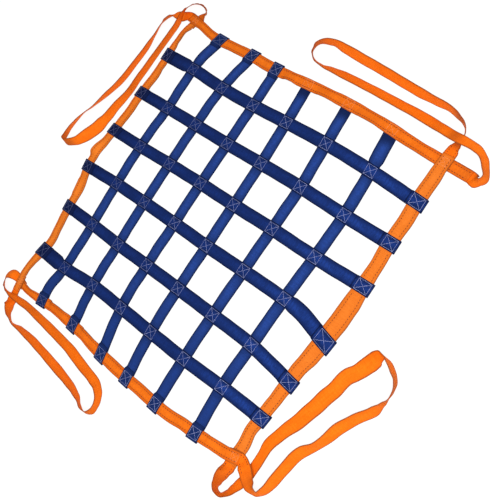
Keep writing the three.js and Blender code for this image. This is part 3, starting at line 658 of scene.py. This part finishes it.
def thread(name, body, shade, painted_left_shade):
    """Sewing thread: fine twist and uneven tone, with painted shade towards the left border."""
    material = bpy.data.materials.new(name)
    n = Nodes(material)
    place = n.place()
    twist = n.add("ShaderNodeTexWave", {"Vector": place, "Scale": 420.0, "Distortion": 1.5},
                  bands_direction="DIAGONAL").outputs["Fac"]
    tone = n.noise(place, 55.0)
    colour = n.mix(n.smooth(tone, low=0.35, high=0.7), body, shade)
    colour = n.mix(n.smooth(twist, low=0.0, high=0.6, to_low=0.35, to_high=0.0), colour, shade)
    # Painted shade: the thread darkens towards the left border
    leftward = n.smooth(n.split(place)["X"], low=-0.9, high=0.3, to_low=0.9, to_high=0.0)
    n.put(n.shader, "Base Color", n.mix(leftward, colour, painted_left_shade))
    n.put(n.shader, "Roughness", n.smooth(tone, low=0.3, high=0.7, to_low=0.5, to_high=0.7))
    n.shader.inputs["Specular IOR Level"].default_value = 0.3
    n.bump(strength=0.35, distance=0.0003, height=twist)
    return material


# Rows and columns are one blue webbing in two copies, lit differently. Rows: painted light towards the
# right
ROW_BLUE = webbing(
    "blue_webbing_rows", body=(0.006, 0.021, 0.125, 1), valley=(0.0045, 0.012, 0.062, 1),
    edge=(0.003, 0.0065, 0.034, 1), side_face=(0.002, 0.004, 0.02, 1), glint=(0.009, 0.031, 0.165, 1),
    rim=(0.74, 0.94), hollow=0.85, specular=0.03, sheen=0.02,
    painted_falloff={"axis": "X", "start": 0.10, "end": 0.55, "colour": (0.013, 0.045, 0.24, 1)})
# Columns: lighter, as painted sheen of the weave, with painted shade towards the bottom of the net
COLUMN_BLUE = webbing(
    "blue_webbing_columns", body=(0.014, 0.045, 0.225, 1), valley=(0.009, 0.025, 0.115, 1),
    edge=(0.0038, 0.0095, 0.046, 1), side_face=(0.0025, 0.005, 0.026, 1), glint=(0.020, 0.064, 0.29, 1),
    rim=(0.70, 0.92), hollow=0.85, specular=0.04, sheen=0.03,
    painted_falloff={"axis": "Y", "start": -0.22, "end": -0.50, "colour": (0.009, 0.032, 0.165, 1)})
# Borders and loops are one orange webbing in three copies, lit differently; this is the top and bottom
# borders'
ORANGE = webbing(
    "orange_webbing_borders", body=(0.71, 0.142, 0.004, 1), valley=(0.52, 0.088, 0.003, 1),
    edge=(0.30, 0.062, 0.007, 1), side_face=(0.20, 0.052, 0.010, 1), glint=(0.80, 0.18, 0.010, 1),
    rim=(0.82, 0.97), hollow=0.85, specular=0.07, sheen=0.02)
# Side borders: paler, as painted sheen of the weave, with painted shade towards the right of the net
SIDE_ORANGE = webbing(
    "orange_webbing_side_borders", body=(0.73, 0.176, 0.014, 1), valley=(0.54, 0.115, 0.008, 1),
    edge=(0.31, 0.072, 0.009, 1), side_face=(0.20, 0.052, 0.010, 1), glint=(0.82, 0.23, 0.026, 1),
    rim=(0.82, 0.97), hollow=0.85, specular=0.07, sheen=0.02,
    painted_falloff={"axis": "X", "start": 0.2, "end": 0.6, "colour": (0.64, 0.155, 0.016, 1)})
# Loops: brighter, as painted light on faces that lean away from the lamps, with less painted shade across
LOOP_ORANGE = webbing(
    "orange_webbing_loops", body=(0.83, 0.150, 0.003, 1), valley=(0.66, 0.103, 0.002, 1),
    edge=(0.30, 0.057, 0.007, 1), side_face=(0.19, 0.050, 0.010, 1), glint=(0.90, 0.20, 0.010, 1),
    rim=(0.74, 0.93), hollow=0.35, specular=0.05, sheen=0.01)
PALE_THREAD = thread(
    "pale_thread", body=(0.31, 0.34, 0.56, 1), shade=(0.18, 0.21, 0.41, 1), painted_left_shade=(0.055, 0.07, 0.17, 1))
ORANGE_THREAD = thread(
    "orange_thread", body=(0.15, 0.022, 0.003, 1), shade=(0.09, 0.013, 0.002, 1),
    painted_left_shade=(0.15, 0.022, 0.003, 1))
BOX_THREAD = thread(
    "orange_box_thread", body=(0.76, 0.28, 0.10, 1), shade=(0.60, 0.18, 0.05, 1),
    painted_left_shade=(0.66, 0.21, 0.06, 1))

ROUTES = [Curve(b["sections"]) for b in BORDERS]
TOP, RIGHT, BOTTOM, LEFT = range(4)
CROSSINGS = np.array([[(c["rows"][r], row["columns"][k]) for k, c in enumerate(COLUMNS)]
                      for r, row in enumerate(ROWS)], float)
COLUMN_NAMES = [f"column_{i + 1}" for i in range(len(COLUMNS))]
ROW_NAMES = [f"row_{i + 1}" for i in range(len(ROWS))]


def border_place(index, axis, value):
    """Place on a border band that has a given x (axis 0) or y (axis 1).
    Returns the point, the direction, the half width and the shade of a strap end there."""
    point, along, t = ROUTES[index].where(axis, value)
    return point, along, between(column_of(BORDERS[index]["sections"], 3), t) / 2, END_SHADE[index]


def strap_end(place, outward, tucked, width):
    """Slanted half width of a strap's end, its sections from the border's edge to its cut end,
    and the corners of its sewn box. Each section: centre, normal and shade."""
    point, along, half, shade = place
    facing = abs(left_of(along) @ outward)
    slant = flat3(along * (width / 2 / (along @ left_of(outward))))
    edge = half / facing
    low = BLUE_THICK / 2

    def at(reach, height):
        return flat3(point + outward * reach, height)

    if tucked:
        return slant, [(at(edge - TUCK_SHORT, low), UP, 0)], None
    reach = edge + TURN_CLEAR
    landed = ROW_RISE + BLUE_THICK / 2
    high = landed + BORDER_THICK + GAP
    radius = (high - low) / 2
    sections = []
    for i in range(TURN_STEPS + 1):
        angle = math.pi * (i / TURN_STEPS - 0.5)
        radial = flat3(outward * math.cos(angle)) + UP * math.sin(angle)
        # Painted shade on the turn round the border, darkest at its outer edge, and on its upper half as on
        # the flap
        dark = max(math.cos(angle), shade * (angle > 0))
        sections.append((at(reach, low + radius) + radial * radius, -radial, dark))
    flat_end = -edge - FLAP_DROP_START
    for r in np.linspace(reach, flat_end, FLAP_PLACES)[1:]:
        sections.append((at(r, high), -UP, shade))
    # Painted shade growing down the drop to the foot of the flap
    for i in range(1, DROP_STEPS + 1):
        share = i / DROP_STEPS
        r = flat_end - (FLAP_DROP_END - FLAP_DROP_START) * share
        height = high + (landed - high) * ease(share)
        sections.append((at(r, height), -UP, max(DROP_SHADE * share, shade)))
    # Full painted shadow on the cut end, below the step of the flap
    sections.append((at(-edge - FLAP_END, landed), -UP, 1))
    top = high + BLUE_THICK / 2
    wide = slant * (1 - 2 * BOX_INSET / width)
    near = at(-edge + FLAP_INSET, top)
    far = at(edge - FLAP_INSET / 2, top)
    return slant, sections, [near - wide, near + wide, far + wide, far - wide]


def widening(place, end, crossing, width):
    """How much each half of a strap is widened beyond the crossing nearest to an end."""
    beyond = (place - crossing) @ unit(end - crossing)
    return (width / 2 - BLUE_HALF) * ease((beyond - WIDE_CLEAR) / WIDE_EASE)


def slanted(across, slant, reach):
    """Half widths of a strap, turned to the slant of its end close to that end."""
    signed = slant * np.sign(across @ slant)[:, None]
    return across + (signed - across) * (1 - ease(reach / END_BLEND))[:, None]


def strap_shade(strap, rise, apart, from_start, start_half):
    """Shade along a strap: on rows beside the left border, on columns beside rows and the top border."""
    if rise > 0:
        return ROW_SHADE * (1 - ease(from_start / ROW_SHADE_REACH))
    shade = CROSS_SHADE * (1 - ease((apart - BLUE_HALF) / CROSS_SHADE_REACH))
    if not strap["tucked"]:
        return shade
    return np.maximum(shade, TUCK_SHADE * (1 - ease((from_start - 2 * start_half) / TUCK_SHADE_REACH)))


def blue_strap(name, strap, start, crossings, finish, rise, seed, material):
    """Blue strap from one border to another.
    Returns the piece, its length, the seams of the boxes sewn on its ends, and its route."""
    stops = (strap.get("start_bend"), *crossings, strap.get("bend"))
    path = [np.array(p, float) for p in stops if p is not None]
    start_width = strap.get("start_width", BLUE_WIDTH)
    end_width = strap.get("end_width", BLUE_WIDTH)
    head_out = unit(start[0] - path[0])
    tail_out = unit(finish[0] - path[-1])
    head_slant, head, head_box = strap_end(start, head_out, strap.get("tucked"), start_width)
    tail_slant, tail, tail_box = strap_end(finish, tail_out, False, end_width)
    first, last = head[0][0][:2], tail[0][0][:2]
    curve = Curve([first, start[0], *path, finish[0], last])
    count = int(curve.length / STEP)
    t = curve.at(np.arange(1, count) / count)
    place = curve.point(t)
    apart = np.linalg.norm(place[:, None] - crossings[None], axis=2).min(axis=1)
    from_start = np.linalg.norm(place - first, axis=1)
    from_finish = np.linalg.norm(place - last, axis=1)
    half = (BLUE_HALF + widening(place, start[0], crossings[0], start_width)
            + widening(place, finish[0], crossings[-1], end_width))
    across = flat3(left_of(curve.tangent(t))) * half[:, None]
    across = slanted(across, head_slant, from_start)
    across = slanted(across, tail_slant, from_finish)
    centre = flat3(place)
    centre[:, 2] = rise * held(apart) + BLUE_THICK / 2
    free = ease((np.minimum(from_start, from_finish) - LOOSE_CLEAR) / LOOSE_EASE)
    loose = np.pad((1 - held(apart)) * free, (len(head), len(tail)))
    head_across = head_slant * np.sign(head_slant @ across[0])
    tail_across = tail_slant * np.sign(tail_slant @ across[-1])
    across = np.vstack([[head_across] * len(head), across, [tail_across] * len(tail)])
    centres = np.vstack([column_of(head, 0)[::-1], centre, column_of(tail, 0)])
    normals = np.vstack([column_of(head, 1)[::-1], [UP] * len(centre), column_of(tail, 1)])
    # Painted shade along the strap, joined with the painted shade on the turns and cut ends of its ends
    shade = strap_shade(strap, rise, apart, from_start, start[2])
    painted_shades = np.concatenate([column_of(head, 2)[::-1], shade, column_of(tail, 2)])
    piece, length = band(name, centres, across, normals, BLUE_HALF, BLUE_THICK, loose, painted_shades, seed,
                         material)
    seams = [seam for box in (head_box, tail_box) if box for seam in box_seams(box)]
    return piece, length, seams, curve


def dressed(node):
    """Hides the part's node that the visible pieces replace."""
    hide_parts(node)


def column_strap(index):
    """One column strap with the boxes sewn on its ends. Returns its route."""
    column, name = COLUMNS[index], COLUMN_NAMES[index]
    piece, length, seams, curve = blue_strap(
        f"{name}_strap", column, border_place(TOP, 0, column["top"]), CROSSINGS[:, index],
        border_place(BOTTOM, 0, column["bottom"]), 0, SEEDS["column"] + index, COLUMN_BLUE)
    sewing = stitch_object(f"{name}_sewing", seams, BOX_STITCH, PALE_THREAD)
    dressed(name)
    return curve


def row_strap(index, column_routes):
    """One row strap with the boxes sewn on its ends and at its crossings."""
    row, name = ROWS[index], ROW_NAMES[index]
    piece, length, seams, curve = blue_strap(
        f"{name}_strap", row, border_place(LEFT, 1, row["left"]), CROSSINGS[index],
        border_place(RIGHT, 1, row["right"]), ROW_RISE, SEEDS["row"] + index, ROW_BLUE)
    half = BLUE_HALF - BOX_INSET
    for crossing, column_route in zip(CROSSINGS[index], column_routes):
        row_way = flat3(curve.where(0, crossing[0])[1]) * half
        column_way = flat3(column_route.where(1, crossing[1])[1]) * half
        seams += box_round(flat3(crossing, ROW_RISE + BLUE_THICK), row_way, column_way)
    sewing = stitch_object(f"{name}_sewing", seams, BOX_STITCH, PALE_THREAD)
    dressed(name)


def strap_places(index):
    """Straps that end on a border band: the place, the band's direction and whether they wrap over it."""
    if index in (TOP, BOTTOM):
        end = "top" if index == TOP else "bottom"
        return [(*border_place(index, 0, c[end])[:2], not (c["tucked"] and index == TOP)) for c in COLUMNS]
    end = "right" if index == RIGHT else "left"
    return [(*border_place(index, 1, r[end])[:2], True) for r in ROWS]


def border_line(border, curve):
    """Places, directions, leans and half widths along a border band from cut end to cut end,
    the index of its first crossing, and the sections that the lower layer has."""
    share = np.linspace(0, 1, int(curve.length / STEP))
    t = curve.at(share)
    before = np.arange(-border["past_start"], -STEP_AT_CROSSING, STEP)
    after = np.append(np.arange(STEP, border["past_end"] - STEP_AT_CUT, STEP), border["past_end"])
    place = np.vstack([[curve.past(0, r) for r in before], curve.point(t),
                       [curve.past(1, r) for r in after]])
    along = np.vstack([[curve.tangent(0)] * len(before), curve.tangent(t), [curve.tangent(1)] * len(after)])
    ends = (len(before), len(after))
    lean, width = (np.pad(between(column_of(border["sections"], k), t), ends, mode="edge") for k in (2, 3))
    lap = LAP_INSIDE / curve.length
    inside = len(before) + np.flatnonzero((share > lap) & (share < 1 - lap))
    return place, along, lean, width / 2, len(before), inside


def border_hold(place, corners, straps):
    """How free a border band is to lean, and how high it is held by straps and by the band it starts on."""
    start, finish = (held(np.linalg.norm(place - c, axis=1) + REST_HALF - LAP_INSIDE) for c in corners)
    apart = np.min([np.linalg.norm(place - p, axis=1) for p, _, _ in straps], axis=0)
    free = 1 - np.max([start, finish, gripped(apart)], axis=0)
    return free, np.maximum(CORNER_RISE * start, ROW_RISE * held(apart))


def under_flap(place, point, along, wrapped):
    """Whether a place on a border band lies under the end of a strap."""
    beside = abs((place - point) @ along) < BLUE_HALF + ROW_CLEAR
    return wrapped and beside and np.linalg.norm(place - point) < FLAP_COVERS


def border_rows(lines, normal, length, straps, next_corner, next_half):
    """Sewn rows along a border band, but not under strap ends or the next band."""
    rows = []
    for line in lines:
        for seam in row_seams(line, normal, STEP, length):
            middle = (seam[0] + seam[1])[:2] / 2
            clear = np.linalg.norm(middle - next_corner) > next_half + ROW_CLEAR
            if clear and not any(under_flap(middle, *strap) for strap in straps):
                rows.append(seam)
    return rows


def border_boxes(place, along, half, first, straps):
    """Boxes sewn on a border band: at its first crossing and over each tucked strap."""
    corner_half = ROW_SHARE * half[0]
    way = along[first]
    middle = flat3(place[first], CORNER_RISE + BORDER_THICK)
    boxes = box_round(middle, corner_half * flat3(way), corner_half * flat3(left_of(way)))
    for point, _, wrapped in straps:
        if not wrapped:
            k = np.argmin(np.linalg.norm(place - point, axis=1))
            a = (BLUE_HALF - BOX_INSET) * flat3(along[k])
            b = TUCK_BOX_SHARE * half[k] * flat3(left_of(along[k]))
            boxes += box_round(flat3(point, ROW_RISE + BORDER_THICK), a, b)
    return boxes


def border_band(index):
    """One border band: its cover, its lower layer and its sewing."""
    border, curve = BORDERS[index], ROUTES[index]
    name = border["name"]
    # The side borders take the paler copy with painted sheen
    orange = ORANGE if index in (TOP, BOTTOM) else SIDE_ORANGE
    straps = strap_places(index)
    corners = [curve.point(0), curve.point(1)]
    place, along, lean, half, first, inside = border_line(border, curve)
    free, rise = border_hold(place, corners, straps)
    centre, width, normal = lean_frames(place, along, lean * free, rise, half, BORDER_THICK)
    cover_centre = centre + normal * (BORDER_THICK - COVER_THICK) / 2
    lower_centre = centre - normal * (BORDER_THICK - LOOP_THICK) / 2
    across = width * half[:, None]
    still = np.zeros(len(place))
    # The cover carries painted shade at the shaded places
    cover, length = band(f"{name}_cover", cover_centre, across, normal, half.mean(), COVER_THICK, still,
                         shaded(place), SEEDS["cover"] + index, orange)
    lower, lower_length = band(f"{name}_lower", lower_centre[inside], LOWER_SHARE * across[inside],
                               normal[inside], half.mean(), LOOP_THICK, still[inside], still[inside],
                               SEEDS["lower"] + index, orange)
    lines = [cover_centre + side * ROW_SHARE * across + normal * COVER_THICK / 2 for side in (-1, 1)]
    next_half = BORDERS[(index + 1) % 4]["sections"][0][3] / 2
    rows = border_rows(lines, normal, length, straps, corners[1], next_half)
    boxes = border_boxes(place, along, half, first, straps)
    sewing = [stitch_object(f"{name}_rows", rows, ROW_STITCH, ORANGE_THREAD),
              stitch_object(f"{name}_boxes", boxes, BOX_STITCH, BOX_THREAD)]
    dressed(name)
    dressed(name)


def loop_table(index):
    """Sections of a loop, with its ends between the layers of the two borders that it joins."""
    before, after = BORDERS[index], BORDERS[(index + 1) % 4]
    into, out = ROUTES[index], ROUTES[(index + 1) % 4]
    sections = LOOPS[index]["sections"]
    flat_in, flat_out = (round(sections[k][2] / 180) * 180 for k in (0, -1))
    wide_in, wide_out = before["sections"][-1][3], after["sections"][0][3]
    hidden = LAP_INSIDE - 2 * LAP_STEP
    return np.array([
        (*into.past(1, -hidden), flat_in, 0, wide_in),
        (*into.past(1, before["past_end"] + LAP_CLEAR), flat_in, 0, wide_in),
        *sections,
        (*out.past(0, -after["past_start"] - LAP_CLEAR), flat_out, CORNER_RISE, wide_out),
        (*out.past(0, hidden), flat_out, CORNER_RISE, wide_out)], float)


def loop_rows(centre, across, normal, first, last):
    """Sewn rows on both faces of a loop, along lengths at its first and its last end."""
    seams = []
    for side in (-1, 1):
        for face in (-1, 1):
            line = centre + side * ROW_SHARE * across + face * normal * LOOP_THICK / 2
            run = running(line)[-1]
            ends = row_seams(line, face * normal, 0, first)
            ends += row_seams(line, face * normal, run - last, run - STEP)
            seams += [seam for seam in ends if min(seam[0][2], seam[1][2]) > ROW_STITCH["height"]]
    return seams


def lifting_loop(index):
    """One lifting loop, and the sewn rows that run on along it."""
    name = LOOPS[index]["name"]
    table = loop_table(index)
    curve = Curve(table)
    t = curve.at(np.linspace(0, 1, int(curve.length / STEP)))
    place = curve.point(t)
    lean, lift, wide = (between(table[:, k], t) for k in (2, 3, 4))
    half = wide / 2
    centre, width, normal = lean_frames(place, curve.tangent(t), lean, lift, half, LOOP_THICK)
    across = width * half[:, None]
    # The loop carries painted shade at the shaded places
    piece, length = band(f"{name}_strap", centre, across, normal, half.mean(), LOOP_THICK, np.zeros(len(t)),
                         shaded(place), SEEDS["loop"] + index, LOOP_ORANGE, LOOP_WANDER[name])
    seams = loop_rows(centre, across, normal, *SEWN.get(name, (0, 0)))
    sewing = [stitch_object(f"{name}_rows", seams, ROW_STITCH, ORANGE_THREAD)] if seams else []
    dressed(name)


def pale_floor():
    """Pale floor that gives off some light, for the white ground of the photo."""
    material = bpy.data.materials.new("floor_pale")
    n = Nodes(material)
    n.put(n.shader, "Base Color", n.mix(n.noise(n.place(), FLOOR_SPOTS), *FLOOR_GREYS))
    n.shader.inputs["Emission Color"].default_value = WHITE
    n.shader.inputs["Emission Strength"].default_value = FLOOR_GLOW
    n.shader.inputs["Roughness"].default_value = 0.95
    n.shader.inputs["Specular IOR Level"].default_value = 0.0
    corners = [(FLOOR_HALF * x, FLOOR_HALF * y, 0) for x, y in ((-1, -1), (1, -1), (1, 1), (-1, 1))]
    mesh = bpy.data.meshes.new("floor")
    mesh.from_pydata(corners, [], [(0, 1, 2, 3)])
    mesh.materials.append(material)
    floor = bpy.data.objects.new("floor", mesh)
    floor.location = (0, 0, -FLOOR_BELOW)
    bpy.context.scene.collection.objects.link(floor)


def placed_by_axes(thing, right, up, back, place):
    """Puts a light or a camera in the scene, facing against its back axis."""
    rows = [(right[k], up[k], back[k], place[k]) for k in range(3)]
    thing.matrix_world = Matrix(rows + [(0, 0, 0, 1)])
    bpy.context.scene.collection.objects.link(thing)


def soft_light():
    """Even light from all round, and two soft lights from above."""
    world = bpy.context.scene.world or bpy.data.worlds.new("soft_room")
    bpy.context.scene.world = world
    world.use_nodes = True
    sky = world.node_tree.nodes["Background"]
    sky.inputs["Color"].default_value = WHITE
    sky.inputs["Strength"].default_value = ROOM_LIGHT
    for name, place, width, power in LIGHTS:
        light = bpy.data.lights.new(name, "AREA")
        light.shape = "SQUARE"
        light.size = width
        light.energy = power
        back = unit(np.array(place))
        side = unit(np.cross(LIGHT_UPWARD, back))
        placed_by_axes(bpy.data.objects.new(name, light), side, np.cross(back, side), back, place)


def photo_camera():
    data = bpy.data.cameras.new("photo_camera")
    data.sensor_width = CAMERA_SENSOR
    data.lens = CAMERA_LENS
    camera = bpy.data.objects.new("photo_camera", data)
    placed_by_axes(camera, CAMERA_RIGHT, CAMERA_UP, CAMERA_BACK, CAMERA_EYE)
    bpy.context.scene.camera = camera
    bpy.context.scene.view_settings.view_transform = "Standard"


COLUMN_ROUTES = [column_strap(i) for i in range(len(COLUMNS))]
for i in range(len(ROWS)):
    row_strap(i, COLUMN_ROUTES)
for i in range(len(BORDERS)):
    border_band(i)
for i in range(len(LOOPS)):
    lifting_loop(i)
pale_floor()
soft_light()
photo_camera()
